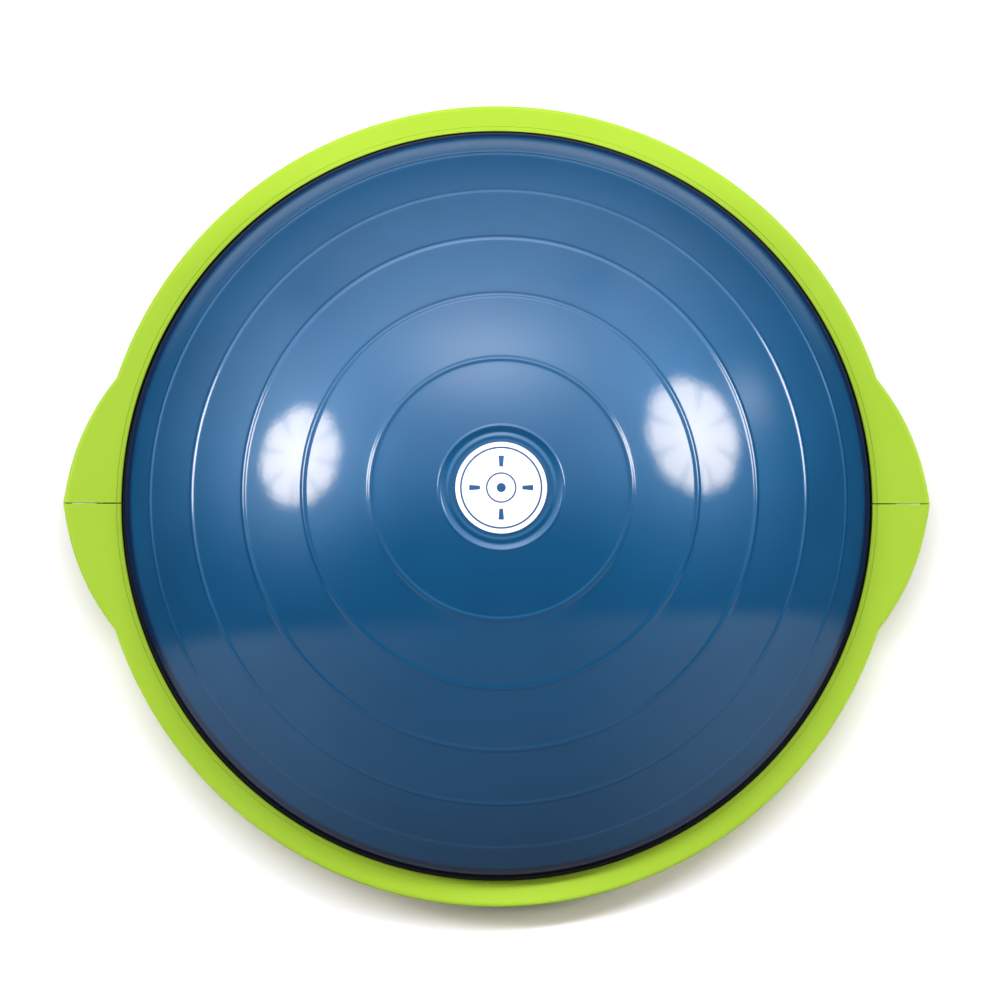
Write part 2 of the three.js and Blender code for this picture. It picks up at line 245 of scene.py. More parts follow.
# Each ring's place along the surface, half its width, and its height.
RINGS = [(RING_FIRST + RING_PITCH * i, RING_HALF_WIDTH, RING_HEIGHT) for i in range(RING_COUNT)]
RINGS.append((HUB_RING_PLACE, HUB_RING_HALF_WIDTH, HUB_RING_HEIGHT))
RINGS.append((RECESS_RADIUS + RECESS_RAMP, LIP_RING_HALF_WIDTH, LIP_RING_HEIGHT))


def recess(along):
    """How far the round recess lies under the crown."""
    return RECESS_DEPTH * (1 - smooth_step((along - RECESS_RADIUS) / RECESS_RAMP))


def ring_lift(along):
    """How far the rings raise the surface at a place."""
    lift = 0.0
    for place, half_width, height in RINGS:
        share = abs(along - place) / half_width
        if share < 1:
            lift += height * math.cos(share * math.pi / 2) ** 2
    return lift


def spaced(start, end, step):
    """Values from start to end, about one step apart."""
    count = max(1, round((end - start) / step))
    return [start + (end - start) * i / count for i in range(count + 1)]


def make_dome():
    """The inflated skin with its rings and recess, and the flange it is clamped by."""
    coarse, fine = 4 * MM, 0.35 * MM
    fillet = 1.5 * MM
    places = set(spaced(0, DOME_LENGTH, coarse))
    places |= set(spaced(RECESS_RADIUS, RECESS_RADIUS + RECESS_RAMP, fine))
    for place, half_width, _ in RINGS:
        places |= set(spaced(place - half_width, place + half_width, fine))
    outside = []
    for along in sorted(places):
        (r, z), out = dome_point(along)
        lift = ring_lift(along) - recess(along)
        outside.append((max(0.0, r + lift * out[0]), z + lift * out[1]))
    inside = []
    for along in spaced(0, DOME_LENGTH, 3 * coarse):
        (r, z), out = dome_point(along, BLADDER_WALL)
        drop = recess(along)
        inside.append((max(0.0, r - drop * out[0]), z - drop * out[1]))
    flange_top = dome_low.z + DOME_FLANGE
    edge = [
        (outside[-1][0] + fillet, flange_top),
        (dome_high.x, flange_top),
        (dome_high.x, dome_low.z),
        (inside[-1][0], dome_low.z),
    ]
    return revolve("bladder_dome_skin", outside + edge + inside[::-1])


# ---- The badge ----

BADGE_STEPS = 144
BADGE_BEVEL = 0.1 * MM
GLUE_GAP = 0.05 * MM
PLAIN, MARKED = 0, 1

# The label's bands of faces start at these shares of its radius. Some of them carry the mark.
BADGE_BANDS = [0.0, 0.10, 0.30, 0.335, 0.46, 0.70, 0.86, 0.90, 0.985, 1.0]
CENTRE_DOT, INNER_LINE, TICKS, OUTER_LINE = 0, 2, 4, 6
TICK_HALF_STEPS = 2


def badge_mark(band, step):
    """Which ink a face of the label has: a centre dot, two lines and four ticks are marked."""
    if band in (CENTRE_DOT, INNER_LINE, OUTER_LINE):
        return MARKED
    quarter = BADGE_STEPS // 4
    near_axis = min(step % quarter, quarter - 1 - step % quarter) < TICK_HALF_STEPS
    return MARKED if band == TICKS and near_axis else PLAIN


def make_badge():
    """A thin round label on the recess floor. Its level mark is made of faces of its own."""
    radius = (badge_high.x - badge_low.x) / 2
    floor = CROWN_RADIUS - RECESS_DEPTH
    outline = [(share * radius, BADGE_THICKNESS) for share in BADGE_BANDS]
    outline[-1] = (radius, BADGE_THICKNESS - BADGE_BEVEL)
    outline += [(radius, GLUE_GAP), (0.0, GLUE_GAP)]
    rows = []
    for step in range(BADGE_STEPS):
        turn = 2 * math.pi * step / BADGE_STEPS
        row = []
        for r, lift in outline:
            z = CROWN_CENTRE_Z + math.sqrt(floor**2 - r**2) + lift
            row.append((r * math.cos(turn), r * math.sin(turn), z))
        rows.append(row)
    mesh = mesh_from_rows("badge_label", rows, wrap=True)
    for polygon in mesh.polygons:
        x, y, _ = polygon.center
        share = math.hypot(x, y) / radius
        band = max(i for i, start in enumerate(BADGE_BANDS) if start <= share or i == 0)
        step = int((math.atan2(y, x) % (2 * math.pi)) / (2 * math.pi) * BADGE_STEPS)
        facing_up = polygon.normal.z > 0.5
        polygon.material_index = badge_mark(band, step) if facing_up else PLAIN
    return link(mesh, "badge_label")


# ---- The rim ----


def grip_edge(t):
    """Point on a grip's edge in plan, on the +X side, with t from 0 at the seam to 1 at its end."""
    root = math.sqrt(RIM_OUTER**2 - GRIP_HALF_LENGTH**2)
    depth = RIM_OUTER + GRIP_REACH - root
    fall = GRIP_TAPER * t + (1 - GRIP_TAPER) * t**GRIP_FULLNESS
    return Vector((root + depth * (1 - fall), t * GRIP_HALF_LENGTH))


def rim_stations(side):
    """Places along one half's outer edge: points in plan from the +X seam to the -X seam."""
    kink = math.asin(GRIP_HALF_LENGTH / RIM_OUTER)
    grip_steps, arc_steps = 48, 150
    first = [grip_edge(i / grip_steps) for i in range(grip_steps)]
    between = []
    for i in range(arc_steps + 1):
        turn = kink + (math.pi - 2 * kink) * i / arc_steps
        between.append(Vector((RIM_OUTER * math.cos(turn), RIM_OUTER * math.sin(turn))))
    last = [Vector((-p.x, p.y)) for p in reversed(first)]
    return [Vector((p.x, p.y * side)) for p in first + between + last]


def on_circle(plan, radius):
    """The point of a circle that lies straight in from a plan point."""
    return plan.normalized() * radius


def rim_section(plan, along):
    """The loop of points of the rim's section at one place on its outer edge."""
    edge_fillet, lip_fillet, small = 3.0 * MM, 0.8 * MM, 0.8 * MM
    foot_fillet = 2 * small
    edge_steps, margin = 6, 0.5 * MM
    channel = RIM_OUTER - RIM_WALL
    skirt_end = RIM_TOP - GRIP_SKIRT
    ceiling = RIM_TOP - TOP_LIP
    tongue_end = ceiling - TONGUE_DEPTH
    lip_top = RIM_TOP - LIP_DROP
    wall = on_circle(plan, RIM_OUTER)
    normal = Vector((along.y, -along.x)).normalized()
    if normal.dot(plan) < 0:
        normal.negate()
    in_grip = plan.length > RIM_OUTER + TINY
    inner_edge = plan - normal * GRIP_WALL
    if inner_edge.length < RIM_OUTER or not in_grip:
        inner_edge = wall
        ceiling_z = skirt_end
    else:
        ceiling_z = ceiling
    loop = []

    def add(point, z):
        loop.append((point.x, point.y, z))

    def ring(radius, z):
        add(on_circle(plan, radius), z)

    # Lower lip and the wall's foot.
    lip_edge = channel - LOWER_LIP_WIDTH
    ring(lip_edge, RIM_BOTTOM + LOWER_LIP - small)
    ring(lip_edge, RIM_BOTTOM + small)
    ring(lip_edge + small, RIM_BOTTOM)
    foot = (RIM_OUTER - foot_fillet, RIM_BOTTOM + foot_fillet)
    for r, z in arc(*foot, foot_fillet, -math.pi / 2, 0, 4):
        ring(r, z)
    # Under the grip: wall, ceiling, inside of the skirt and its lower edge.
    add(wall, skirt_end)
    add(wall, ceiling_z)
    add(inner_edge, ceiling_z)
    add(inner_edge, skirt_end)
    add(plan, skirt_end)
    # Outer face and its rounded top edge.
    for i in range(edge_steps + 1):
        turn = math.pi / 2 * i / edge_steps
        back = edge_fillet * (1 - math.cos(turn))
        add(plan - normal * back, RIM_TOP - edge_fillet * (1 - math.sin(turn)))
    add(plan - normal * (edge_fillet + small), RIM_TOP)
    # Flat top, a shallow step down to the inner lip, the lip's rounded edge and the tongue.
    step_high = RIM_INNER + LIP_STEP
    step_low = step_high - LIP_STEP_WIDTH
    ring(step_high + margin, RIM_TOP)
    ring(step_high, RIM_TOP)
    ring(step_low, lip_top)
    ring(step_low - margin, lip_top)
    lip = (RIM_INNER + lip_fillet, lip_top - lip_fillet)
    for r, z in arc(*lip, lip_fillet, math.pi / 2, math.pi, 4):
        ring(r, z)
    ring(RIM_INNER, tongue_end)
    ring(RIM_INNER + TONGUE_WIDTH, tongue_end)
    ring(RIM_INNER + TONGUE_WIDTH, ceiling)
    ring(channel, ceiling)
    ring(channel, RIM_BOTTOM + LOWER_LIP)
    ring(lip_edge + small, RIM_BOTTOM + LOWER_LIP)
    return loop


def is_inner_wall(polygon):
    """Whether a face is on the rim's inner edge, down in the gap around the dome, where shade is
    painted.
    """
    x, y, z = polygon.center
    margin, lip_height = 0.3 * MM, 0.5 * MM
    on_edge = math.hypot(x, y) < RIM_INNER + margin
    below_lip = z < RIM_TOP - LIP_DROP - lip_height
    return on_edge and below_lip


def make_rim_half(name, side):
    """One rim half with both its half grips. side is -1 for the front, 1 for the rear."""
    stations = rim_stations(side)
    rows = []
    for i, plan in enumerate(stations):
        before = stations[max(0, i - 1)]
        after = stations[min(len(stations) - 1, i + 1)]
        rows.append(rim_section(plan, after - before))
    seam = SEAM * side
    for row in (rows[0], rows[-1]):
        for k, (x, y, z) in enumerate(row):
            row[k] = (x, seam, z)
    return link(mesh_from_rows(name, rows, cap_ends=True), name)


# ---- Underside: deck, feet, screws and valve ----

DECK_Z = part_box("platform_lower_shell")[0].z
DECK_RADIUS = RIM_INNER + 1.7 * MM
FLANGE_RADIUS = RIM_INNER + 12.5 * MM
FOOT_RADIUS = (foot_high.x - foot_low.x) / 2
FOOT_SEAT = 1.5 * MM
FIT = 0.3 * MM
POCKET_RADIUS = 24 * MM
POCKET_CEILING = 13 * MM
POCKET_WALL = 3 * MM
SEAT_RADIUS = 8.7 * MM
SEAT_BORE = 4.5 * MM
HEAD_RADIUS = 3.9 * MM
HEAD_HEIGHT = 2.0 * MM
SHANK_RADIUS = 2.0 * MM
PLUG_RADIUS = 4.2 * MM
PLUG_FLANGE_RADIUS = 7.5 * MM
HEAD_HOLE_DEPTH = 2.6 * MM
CUT_MARGIN = 5 * MM


def middle(node):
    """A CAD node's middle in plan."""
    low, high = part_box(node)
    return ((low.x + high.x) / 2, (low.y + high.y) / 2)


def apply_modifiers(piece):
    """Turns the piece's modifiers into its mesh."""
    graph = bpy.context.evaluated_depsgraph_get()
    mesh = bpy.data.meshes.new_from_object(piece.evaluated_get(graph))
    piece.modifiers.clear()
    piece.data = mesh


def cut(piece, cutters, crease=CREASE):
    """Cuts each of the cutters out of the piece."""
    for cutter in cutters:
        step = piece.modifiers.new("cut", "BOOLEAN")
        step.operation = "DIFFERENCE"
        step.solver = "EXACT"
        step.object = cutter
    apply_modifiers(piece)
    for cutter in cutters:
        bpy.data.objects.remove(cutter)
    shade(piece.data, crease)


def rod(name, place, radius, bottom, top):
    outline = [(0, bottom), (radius, bottom), (radius, top), (0, top)]
    return revolve(name, outline, CUT_STEPS, place)


def head_hole(node, surface):
    """The tool that cuts the hole for a screw's head into an underside at height surface."""
    top = surface + HEAD_HOLE_DEPTH
    return rod("hole", middle(node), HEAD_RADIUS + FIT, surface - CUT_MARGIN, top)


def make_deck():
    """The lower shell, whose underside is the flat deck."""
    small = 0.8 * MM
    flange_bottom, flange_top = DECK_Z + 6.8 * MM, DECK_Z + 11.8 * MM
    inner_top = DECK_Z + 3.5 * MM
    wall = 4 * MM
    seat_hole = SEAT_RADIUS + 0.5 * MM
    outline = [
        (seat_hole, POCKET_CEILING),
        (POCKET_RADIUS - small, POCKET_CEILING),
        (POCKET_RADIUS, POCKET_CEILING - small),
        *arc(POCKET_RADIUS + small, DECK_Z + small, small, math.pi, 1.5 * math.pi, 4),
        (DECK_RADIUS / 2, DECK_Z),
        *arc(DECK_RADIUS - small, DECK_Z + small, small, -math.pi / 2, 0, 4),
        (DECK_RADIUS, flange_bottom),
        (FLANGE_RADIUS, flange_bottom),
        (FLANGE_RADIUS, flange_top),
        (DECK_RADIUS - wall, flange_top),
        (DECK_RADIUS - wall, inner_top),
        (POCKET_RADIUS + POCKET_WALL, inner_top),
        (POCKET_RADIUS + POCKET_WALL, POCKET_CEILING + POCKET_WALL),
        (seat_hole, POCKET_CEILING + POCKET_WALL),
    ]
    deck = revolve("platform_deck", outline)
    cutters = []
    for i in range(1, 9):
        foot = (middle(f"foot_{i}"), FOOT_RADIUS + FIT)
        cutters.append(rod("seat", *foot, DECK_Z - CUT_MARGIN, DECK_Z + FOOT_SEAT))
        cutters.append(head_hole(f"shell_screw_{i}", DECK_Z))
    cut(deck, cutters)
    return deck


def make_foot(node):
    """A rubber foot with three round grooves in its sole, and the stud that holds it."""
    low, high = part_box(node)
    body_top = DECK_Z + FOOT_SEAT - FIT
    groove, depth, small = 0.8 * MM, 0.7 * MM, 0.9 * MM
    stud = 3.5 * MM
    sole = [(0, low.z)]
    for share in (0.24, 0.46, 0.68):
        r = share * FOOT_RADIUS
        sole += [
            (r - groove, low.z),
            (r - groove / 2, low.z + depth),
            (r + groove / 2, low.z + depth),
            (r + groove, low.z),
        ]
    outline = [
        *sole,
        *arc(FOOT_RADIUS - small, low.z + small, small, -math.pi / 2, 0, 5),
        (FOOT_RADIUS, body_top),
        (stud, body_top),
        (stud, high.z),
        (0, high.z),
    ]
    return revolve(f"rubber_{node}", outline, FOOT_STEPS, middle(node), FOOT_CREASE)


def make_screw(node):
    """A pan-head screw, head down, with a cross recess."""
    low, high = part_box(node)
    crown, crown_steps, tip = 0.55 * MM, 5, 2 * MM
    head = [(0, low.z)]
    for i in range(1, crown_steps + 1):
        turn = math.pi / 2 * i / crown_steps
        head.append((HEAD_RADIUS * math.sin(turn), low.z + crown * (1 - math.cos(turn))))
    outline = [
        *head,
        (HEAD_RADIUS, low.z + HEAD_HEIGHT),
        (SHANK_RADIUS, low.z + HEAD_HEIGHT),
        (SHANK_RADIUS, high.z - tip),
        (0, high.z),
    ]
    place = middle(node)
    screw = revolve(f"zinc_{node}", outline, SCREW_STEPS, place, SCREW_CREASE)
    slot_half, slot_width, slot_depth = 2.1 * MM, 0.45 * MM, 1.2 * MM
    cutters = []
    for x_half, y_half in ((slot_half, slot_width), (slot_width, slot_half)):
        corners = [
            (place[0] + x_half, place[1] + y_half),
            (place[0] - x_half, place[1] + y_half),
            (place[0] - x_half, place[1] - y_half),
            (place[0] + x_half, place[1] - y_half),
        ]
        rows = [[(x, y, z) for x, y in corners] for z in (low.z - MM, low.z + slot_depth)]
        cutters.append(link(mesh_from_rows("slot", rows, cap_ends=True), "slot"))
    cut(screw, cutters, SCREW_CREASE)
    return screw


def make_valve_seat():
    """The round grommet that the plug sits in."""
    low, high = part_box("valve_seat")
    flange_radius, flange_bottom, small = 13 * MM, high.z - 2 * MM, 0.3 * MM
    outline = [
        (SEAT_BORE, low.z + small),
        (SEAT_BORE + small, low.z),
        (SEAT_RADIUS - small, low.z),
        (SEAT_RADIUS, low.z + small),
        (SEAT_RADIUS, flange_bottom),
        (flange_radius, flange_bottom),
        (flange_radius, high.z),
        (SEAT_BORE, high.z),
    ]
    return revolve("valve_grommet", outline, SEAT_STEPS)


def make_valve_plug():
    """A plug with a round flange and, below it, a tab to pull it by."""
    low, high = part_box("valve_plug")
    flange_bottom, flange_top = 10.5 * MM, 13.2 * MM
    small, taper, taper_length = 0.5 * MM, 1.2 * MM, 2 * MM
    outline = [
        (0, flange_bottom),
        *arc(PLUG_FLANGE_RADIUS - small, flange_bottom + small, small, -math.pi / 2, 0, 4),
        *arc(PLUG_FLANGE_RADIUS - small, flange_top - small, small, 0, math.pi / 2, 4),
        (PLUG_RADIUS, flange_top),
        (PLUG_RADIUS, high.z - taper_length),
        (PLUG_RADIUS - taper, high.z),
        (0, high.z),
    ]
    stem = revolve("valve_plug_stem", outline, PLUG_STEPS)
    half, half_thickness, rounding = 6.7 * MM, 1.5 * MM, 2.2 * MM
    into_flange, bevelled = 0.8 * MM, 0.94
    top = flange_bottom + into_flange
    corner_x, corner_z = half - rounding, low.z + rounding
    loop = [
        *arc(-corner_x, corner_z, rounding, -math.pi, -math.pi / 2, 6),
        *arc(corner_x, corner_z, rounding, -math.pi / 2, 0, 6),
        (half, top),
        (-half, top),
    ]
    layers = (
        (-half_thickness, bevelled),
        (-half_thickness + small, 1.0),
        (half_thickness - small, 1.0),
        (half_thickness, bevelled),
    )
    rows = []
    for y, share in layers:
        rows.append([(x * share, y, top - (top - z) * share) for x, z in loop])
    tab = link(mesh_from_rows("valve_plug_tab", rows, cap_ends=True), "valve_plug_tab")
    return stem, tab


# ---- Assembly ----

RIM_SCREWS = [f"rim_screw_{i}" for i in range(1, 13)]
SHELL_SCREWS = [f"shell_screw_{i}" for i in range(1, 9)]

dome = make_dome()
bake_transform(dome)
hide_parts("bladder_dome")

badge = make_badge()
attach(badge, "dome")
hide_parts("top_badge")


def place_on_platform(piece, node):
    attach(piece, "platform")
    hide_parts(node)
    return piece


rims = []
for name, node, side in (("rim_front", "rim_half_front", -1), ("rim_rear", "rim_half_rear", 1)):
    rim = make_rim_half(name, side)
    own_screws = [screw for screw in RIM_SCREWS if middle(screw)[1] * side > 0]
    cut(rim, [head_hole(screw, RIM_BOTTOM) for screw in own_screws])
    rims.append(place_on_platform(rim, node))

deck = place_on_platform(make_deck(), "platform_lower_shell")
feet = [place_on_platform(make_foot(f"foot_{i}"), f"foot_{i}") for i in range(1, 9)]
screws = [place_on_platform(make_screw(node), node) for node in RIM_SCREWS + SHELL_SCREWS]
seat = place_on_platform(make_valve_seat(), "valve_seat")
stem, tab = make_valve_plug()
for piece in (stem, tab):
    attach(piece, "plug")
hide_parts("valve_plug")

# ---- Materials ----


def set_inputs(node, values):
    for key, value in values.items():
        socket = node.inputs[key]
        if isinstance(value, bpy.types.NodeSocket):
            node.id_data.links.new(value, socket)
        else:
            socket.default_value = value


def add_node(tree, kind, values=None, **settings):
    node = tree.nodes.new(kind)
    for key, value in settings.items():
        setattr(node, key, value)
    set_inputs(node, values or {})
    return node


def maths(tree, operation, *values):
    node = tree.nodes.new("ShaderNodeMath")
    node.operation = operation
    set_inputs(node, dict(enumerate(values)))
    return node.outputs[0]


def vector_maths(tree, operation, *values, output=0):
    node = tree.nodes.new("ShaderNodeVectorMath")
    node.operation = operation
    set_inputs(node, dict(enumerate(values)))
    return node.outputs[output]


def soft_step(tree, value, start, end, low=0.0, high=1.0):
    """low before start, high after end, and a smooth rise between them."""
    node = tree.nodes.new("ShaderNodeMapRange")
    node.interpolation_type = "SMOOTHSTEP"
    set_inputs(node, {0: value, 1: start, 2: end, 3: low, 4: high})
    return node.outputs[0]


def mix_colors(tree, share, first, second):
    """first where share is 0, second where it is 1."""
    node = add_node(tree, "ShaderNodeMix", data_type="RGBA")
    set_inputs(node, {0: share, 6: first, 7: second})
    return node.outputs[2]


def mix_values(tree, share, first, second):
    node = add_node(tree, "ShaderNodeMix", data_type="FLOAT")
    set_inputs(node, {0: share, 2: first, 3: second})
    return node.outputs[0]


def object_place(tree):
    return add_node(tree, "ShaderNodeTexCoord").outputs["Object"]


def noise(tree, scale, detail=2.0):
    values = {"Vector": object_place(tree), "Scale": scale, "Detail": detail, "Roughness": 0.5}
    return add_node(tree, "ShaderNodeTexNoise", values).outputs[0]


def principled(name, color, roughness, **values):
    material = bpy.data.materials.new(name)
    material.use_nodes = True
    shader = material.node_tree.nodes["Principled BSDF"]
    set_inputs(shader, {"Base Color": (*color, 1), "Roughness": roughness})
    set_inputs(shader, {key.replace("_", " "): value for key, value in values.items()})
    return material


def shader_of(material):
    return material.node_tree.nodes["Principled BSDF"]


def tint(tree, color, other, scale):
    """Slow change between two close colours."""
    spread = soft_step(tree, noise(tree, scale), 0.35, 0.65)
    return mix_colors(tree, spread, (*color, 1), (*other, 1))


def add_tint(material, color, other, scale):
    base = tint(material.node_tree, color, other, scale)
    set_inputs(shader_of(material), {"Base Color": base})


def add_bump(material, height, distance, strength, socket="Normal"):
    bump = add_node(material.node_tree, "ShaderNodeBump")
    set_inputs(bump, {"Strength": strength, "Distance": distance, "Height": height})
    set_inputs(shader_of(material), {socket: bump.outputs[0]})


def make_bladder_material():
    """Soft blue PVC with a gloss, with painted shade on it: navy down its side wall, nearly black
    at the wall's foot.
    """
    blue, deep = (0.0085, 0.083, 0.206), (0.0072, 0.076, 0.190)
    shade_navy, shade_black = (0.0070, 0.026, 0.083, 1), (0.0015, 0.003, 0.008, 1)
    material = principled(
        "bladder_pvc", blue, 0.55, Metallic=0.6, Specular_IOR_Level=0.0,
        Coat_Weight=1.0, Coat_Roughness=0.075, Coat_IOR=1.5,
    )
    tree = material.node_tree
    flat = vector_maths(tree, "MULTIPLY", object_place(tree), (1, 1, 0))
    radius = vector_maths(tree, "LENGTH", flat, output=1)
    # The navy and near-black bands are painted shade: the steep wall grows darker towards its foot,
    # as the overhead light would leave it.
    wall_shade_share = soft_step(tree, radius, WALL_RADIUS - 8.5 * MM, WALL_RADIUS - 5.5 * MM)
    foot_shade_share = soft_step(tree, radius, WALL_RADIUS - 3 * MM, WALL_RADIUS - 0.8 * MM)
    top = tint(tree, blue, deep, 14.0)
    wall = mix_colors(tree, wall_shade_share, top, shade_navy)
    foot = mix_colors(tree, foot_shade_share, wall, shade_black)
    set_inputs(shader_of(material), {"Base Color": foot})
    orange_peel = noise(tree, 260.0)
    add_bump(material, orange_peel, 0.04 * MM, 0.6, "Coat Normal")
    return material


def make_rim_material():
    green, yellow = (0.334, 0.540, 0.036), (0.348, 0.560, 0.042)
    material = principled("rim_plastic", green, 0.42, Specular_IOR_Level=0.12)
    add_tint(material, green, yellow, 9.0)
    add_bump(material, noise(material.node_tree, 1400.0, 3.0), 0.03 * MM, 0.5)
    return material


def make_platform_material():
    grey, darker = (0.028, 0.031, 0.036), (0.022, 0.024, 0.028)
    material = principled("platform_plastic", grey, 0.52)
    add_tint(material, grey, darker, 11.0)
    tree = material.node_tree
    cells = add_node(tree, "ShaderNodeTexVoronoi", {"Vector": object_place(tree), "Scale": 520.0})
    add_bump(material, cells.outputs["Distance"], 0.2 * MM, 0.5)
    return material


def make_rubber_material():
    material = principled("foot_rubber", (0.009, 0.0095, 0.010), 0.8)
    add_bump(material, noise(material.node_tree, 900.0, 3.0), 0.05 * MM, 0.6)
    return material


def make_tinted_material(name, color, other, scale, roughness, **values):
    material = principled(name, color, roughness, **values)
    add_tint(material, color, other, scale)
    return material


ZINC, DULL_ZINC = (0.52, 0.54, 0.57), (0.44, 0.45, 0.47)
VALVE_GREY, VALVE_SHADE = (0.62, 0.64, 0.66), (0.57, 0.59, 0.61)
LABEL_WHITE, LABEL_SHADE = (0.93, 0.935, 0.93), (0.9, 0.905, 0.9)
INK_BLUE, INK_DEEP = (0.012, 0.082, 0.2), (0.010, 0.07, 0.18)

bladder_material = make_bladder_material()
rim_material = make_rim_material()
# Near-black painted shade for the rim's inner wall, down in the gap around the dome.
gap_shade_material = principled("rim_gap_painted_shade", (0.012, 0.018, 0.006), 0.7)
platform_material = make_platform_material()
rubber_material = make_rubber_material()
zinc_material = make_tinted_material("screw_zinc", ZINC, DULL_ZINC, 300.0, 0.34, Metallic=1.0)
valve_material = make_tinted_material("valve_plastic", VALVE_GREY, VALVE_SHADE, 60.0, 0.42)
badge_white = make_tinted_material("badge_white", LABEL_WHITE, LABEL_SHADE, 40.0, 0.32)
badge_blue = make_tinted_material("badge_blue", INK_BLUE, INK_DEEP, 40.0, 0.32)


def dress(pieces, slot, *materials):
    """Gives pieces their materials. The slot argument is not used."""
    for piece in pieces:
        piece.data.materials.clear()
        for material in materials:
            piece.data.materials.append(material)


dress([dome], "bladder", bladder_material)
dress(rims, "rim", rim_material, gap_shade_material)
# The rim's faces down in the gap around the dome get the near-black painted shade.
for rim in rims:
    rim.visible_glossy = False
    for polygon in rim.data.polygons:
        polygon.material_index = int(is_inner_wall(polygon))
dress([deck], "platform", platform_material)
dress(feet, "rubber", rubber_material)
dress(screws, "screw", zinc_material)
dress([seat, stem, tab], "valve", valve_material)

marks = [polygon.material_index for polygon in badge.data.polygons]
dress([badge], "badge", badge_white, badge_blue)
badge.data.polygons.foreach_set("material_index", marks)

dress([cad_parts["bladder_base"]], None, bladder_material)
dress([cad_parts["platform_upper_shell"]], None, platform_material)

# ---- Floor, light and camera ----


def make_floor():
    """White paper, which is clear from below."""
    half = 12.0
    mesh = bpy.data.meshes.new("floor")
    corners = [(-half, -half, 0), (half, -half, 0), (half, half, 0), (-half, half, 0)]
    mesh.from_pydata(corners, [], [(0, 1, 2, 3)])
    floor = link(mesh, "floor")
    material = principled("floor_paper", (0.93, 0.93, 0.93), 0.9, Specular_IOR_Level=0.0)
    tree = material.node_tree
    below = add_node(tree, "ShaderNodeNewGeometry").outputs["Backfacing"]
    clear = add_node(tree, "ShaderNodeBsdfTransparent").outputs[0]
    mix = add_node(tree, "ShaderNodeMixShader")
    set_inputs(mix, {0: below, 1: shader_of(material).outputs[0], 2: clear})
    set_inputs(tree.nodes["Material Output"], {"Surface": mix.outputs[0]})
    mesh.materials.append(material)
    floor.visible_glossy = False


def total(tree, values):
    result = values[0]
    for value in values[1:]:
        result = maths(tree, "ADD", result, value)
    return result


def product(tree, *values):
    result = values[0]
    for value in values[1:]:
        result = maths(tree, "MULTIPLY", result, value)
    return result


def glow(tree, direction, centre, width, strength):
    """A soft patch of light in the direction of centre. width has one value per axis."""
    offset = vector_maths(tree, "SUBTRACT", direction, centre)
    scaled = vector_maths(tree, "DIVIDE", offset, width)
    square = vector_maths(tree, "DOT_PRODUCT", scaled, scaled, output=1)
    fade = maths(tree, "EXPONENT", maths(tree, "MULTIPLY", square, -1.0))
    return maths(tree, "MULTIPLY", fade, strength)


def umbrella(tree, direction, centre, half_angle, strength, turn):
    """A round studio umbrella seen from inside, with eight dark ribs."""
    rib_count, rib_darkness, scallop = 8.0, 0.28, 0.012
    towards = Vector(centre).normalized()
    across = towards.cross(Vector((0, 0, 1))).normalized()
    up = across.cross(towards)
    u = vector_maths(tree, "DOT_PRODUCT", direction, across, output=1)
    v = vector_maths(tree, "DOT_PRODUCT", direction, up, output=1)
    ahead = vector_maths(tree, "DOT_PRODUCT", direction, towards, output=1)
    square = maths(tree, "ADD", maths(tree, "POWER", u, 2.0), maths(tree, "POWER", v, 2.0))
    radius = maths(tree, "SQRT", square)
    angle = maths(tree, "ARCTAN2", v, u)
    ribs = maths(tree, "COSINE", maths(tree, "MULTIPLY_ADD", angle, rib_count, turn))
    share = maths(tree, "DIVIDE", radius, math.sin(math.radians(half_angle)))
    edge = maths(tree, "MULTIPLY_ADD", ribs, -scallop, 0.98)
    inside = soft_step(tree, maths(tree, "SUBTRACT", share, edge), -0.22, 0.10, 1.0, 0.0)
    at_rib = soft_step(tree, ribs, 0.55, 1.0)
    off_centre = soft_step(tree, share, 0.15, 0.75)
    rib_shade = maths(
        tree, "MULTIPLY_ADD", product(tree, at_rib, off_centre), -rib_darkness, 1.0
    )
    falloff = soft_step(tree, share, 0.0, 1.0, 1.0, 0.8)
    in_front = maths(tree, "GREATER_THAN", ahead, 0.0)
    return product(tree, inside, rib_shade, falloff, in_front, strength)


LEFT_UMBRELLA = (-0.819, 0.204, 0.536)
RIGHT_UMBRELLA = (0.805, 0.287, 0.517)

# Umbrellas: direction, half angle in degrees, strength, turn of the ribs.
UMBRELLAS = [(LEFT_UMBRELLA, 12.8, 19.0, 0.0), (RIGHT_UMBRELLA, 14.7, 18.5, 1.2)]

# Soft patches in what gloss reflects: direction, width along each axis, strength.
# A window, a halo round each umbrella, two dark patches and a flare.
PATCHES = [
    ((-0.06, 0.65, 0.76), (0.36, 0.20, 0.5), 3.8),
    (LEFT_UMBRELLA, (0.32, 0.32, 0.32), 2.3),
    (RIGHT_UMBRELLA, (0.34, 0.34, 0.34), 1.4),
    ((0.36, 0.87, 0.32), (0.10, 0.16, 0.22), -0.35),
    ((-0.64, 0.76, 0.11), (0.09, 0.14, 0.22), -0.30),
    ((0.90, 0.40, 0.16), (0.09, 0.11, 0.14), 2.2),
]

AMBIENT = 0.045
WHITE = (1, 1, 1, 1)
CLOTH = (1.03, 0.91, 0.81, 1)
AMBIENT_BLUE = (0.95, 0.92, 1.5, 1)


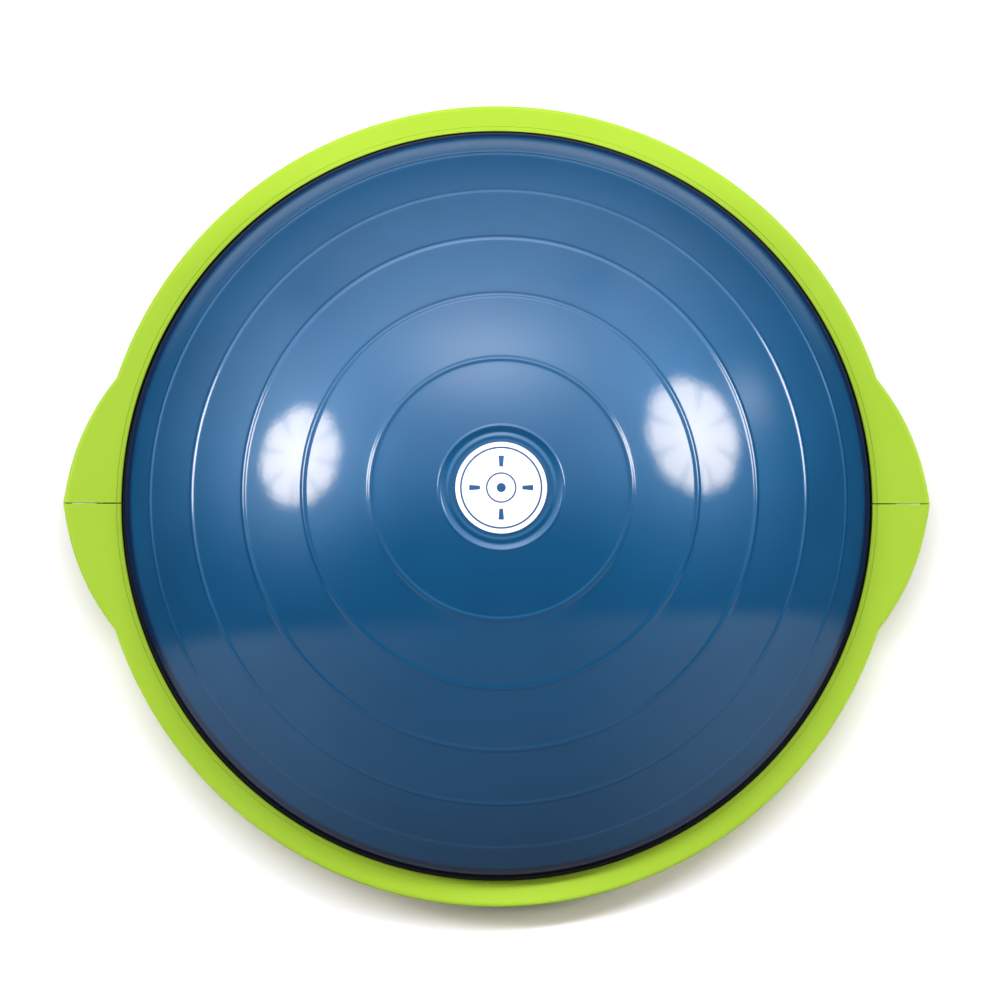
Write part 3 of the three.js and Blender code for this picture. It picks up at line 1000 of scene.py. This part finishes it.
def make_world():
    """White for the camera, even dim blue for matt surfaces, and a studio for gloss to reflect."""
    world = bpy.data.worlds.new("studio")
    world.use_nodes = True
    tree = world.node_tree
    tree.nodes.clear()
    direction = add_node(tree, "ShaderNodeTexCoord").outputs["Generated"]
    axes = add_node(tree, "ShaderNodeSeparateXYZ", {0: direction}).outputs
    x, y, z = axes[0], axes[1], axes[2]
    sideways = maths(tree, "ABSOLUTE", x)
    # The room is brighter towards the rear and the ceiling, and dim on the right.
    room = product(
        tree,
        soft_step(tree, y, -0.25, 0.55, 0.0, 1.55),
        soft_step(tree, z, -0.6, 0.5),
        soft_step(tree, x, 0.45, 1.0, 1.0, 0.12),
    )
    # A pale strip low down at the rear, which the dome's wall reflects.
    rear_strip = product(
        tree,
        soft_step(tree, y, 0.3, 0.7),
        soft_step(tree, z, -0.44, -0.56),
        soft_step(tree, z, -0.65, -0.55),
        0.85,
    )
    # A table in front, whose blurred edge slants and bends a little.
    slanted = maths(tree, "MULTIPLY_ADD", x, 0.045, -0.356)
    table_edge = maths(tree, "MULTIPLY_ADD", z, -0.205, slanted)
    table_edge = maths(tree, "MULTIPLY_ADD", sideways, -0.03, table_edge)
    edge_blur = maths(tree, "MULTIPLY_ADD", sideways, -0.08, 0.11)
    past_edge = maths(tree, "DIVIDE", maths(tree, "SUBTRACT", table_edge, y), edge_blur)
    table = product(
        tree,
        soft_step(tree, past_edge, -1.0, 1.0),
        soft_step(tree, sideways, 0.2, 0.95, 0.33, 0.75),
        soft_step(tree, z, -0.7, 0.3, 0.4, 1.0),
    )
    patches = [glow(tree, direction, *patch) for patch in PATCHES]
    umbrellas = total(tree, [umbrella(tree, direction, *values) for values in UMBRELLAS])
    studio = total(tree, [room, rear_strip, table, *patches, umbrellas])
    path = add_node(tree, "ShaderNodeLightPath").outputs
    is_diffuse, is_camera = path["Is Diffuse Ray"], path["Is Camera Ray"]
    matt_or_gloss = mix_values(tree, is_diffuse, studio, AMBIENT)
    strength = mix_values(tree, is_camera, matt_or_gloss, 1.0)
    tone = mix_colors(tree, soft_step(tree, umbrellas, 0.0, 8.0), WHITE, CLOTH)
    color = mix_colors(tree, is_diffuse, tone, AMBIENT_BLUE)
    values = {"Color": color, "Strength": strength}
    background = add_node(tree, "ShaderNodeBackground", values)
    output = add_node(tree, "ShaderNodeOutputWorld")
    set_inputs(output, {"Surface": background.outputs[0]})
    bpy.context.scene.world = world


def make_light():
    """A long soft box overhead that isn't seen in reflections."""
    place, aim = Vector((-0.2, 1.3, 3.8)), Vector((0, 0, 0.05))
    data = bpy.data.lights.new("overhead", "AREA")
    data.shape = "RECTANGLE"
    data.size, data.size_y = 4.4, 0.3
    data.energy = 163
    data.color = (0.98, 0.985, 1.10)
    light = bpy.data.objects.new("overhead", data)
    light.location = place
    light.rotation_mode = "QUATERNION"
    light.rotation_quaternion = (aim - place).to_track_quat("-Z", "Y")
    light.visible_glossy = False
    bpy.context.scene.collection.objects.link(light)


CAMERA_DISTANCE = 2.2
CAMERA_BACK = Vector((-0.0145, -0.0589, 0.998)).normalized()
SENSOR_WIDTH = 36
FOCAL_PER_WIDTH = 3.3035
AIM = Vector((0.0017, 0.0023, RIM_TOP))


def make_camera():
    """Looks almost straight down, with the grips level in the picture."""
    data = bpy.data.cameras.new("camera")
    data.sensor_width = SENSOR_WIDTH
    data.lens = FOCAL_PER_WIDTH * SENSOR_WIDTH
    camera = bpy.data.objects.new("camera", data)
    camera.location = AIM + CAMERA_BACK * CAMERA_DISTANCE
    camera.rotation_mode = "QUATERNION"
    right = Vector((0, 1, 0)).cross(CAMERA_BACK).normalized()
    up = CAMERA_BACK.cross(right)
    turn = Matrix((right, up, CAMERA_BACK)).transposed()
    camera.rotation_quaternion = turn.to_quaternion()
    bpy.context.scene.collection.objects.link(camera)
    bpy.context.scene.camera = camera


make_floor()
make_world()
make_light()
make_camera()
bpy.context.scene.view_settings.view_transform = "Standard"

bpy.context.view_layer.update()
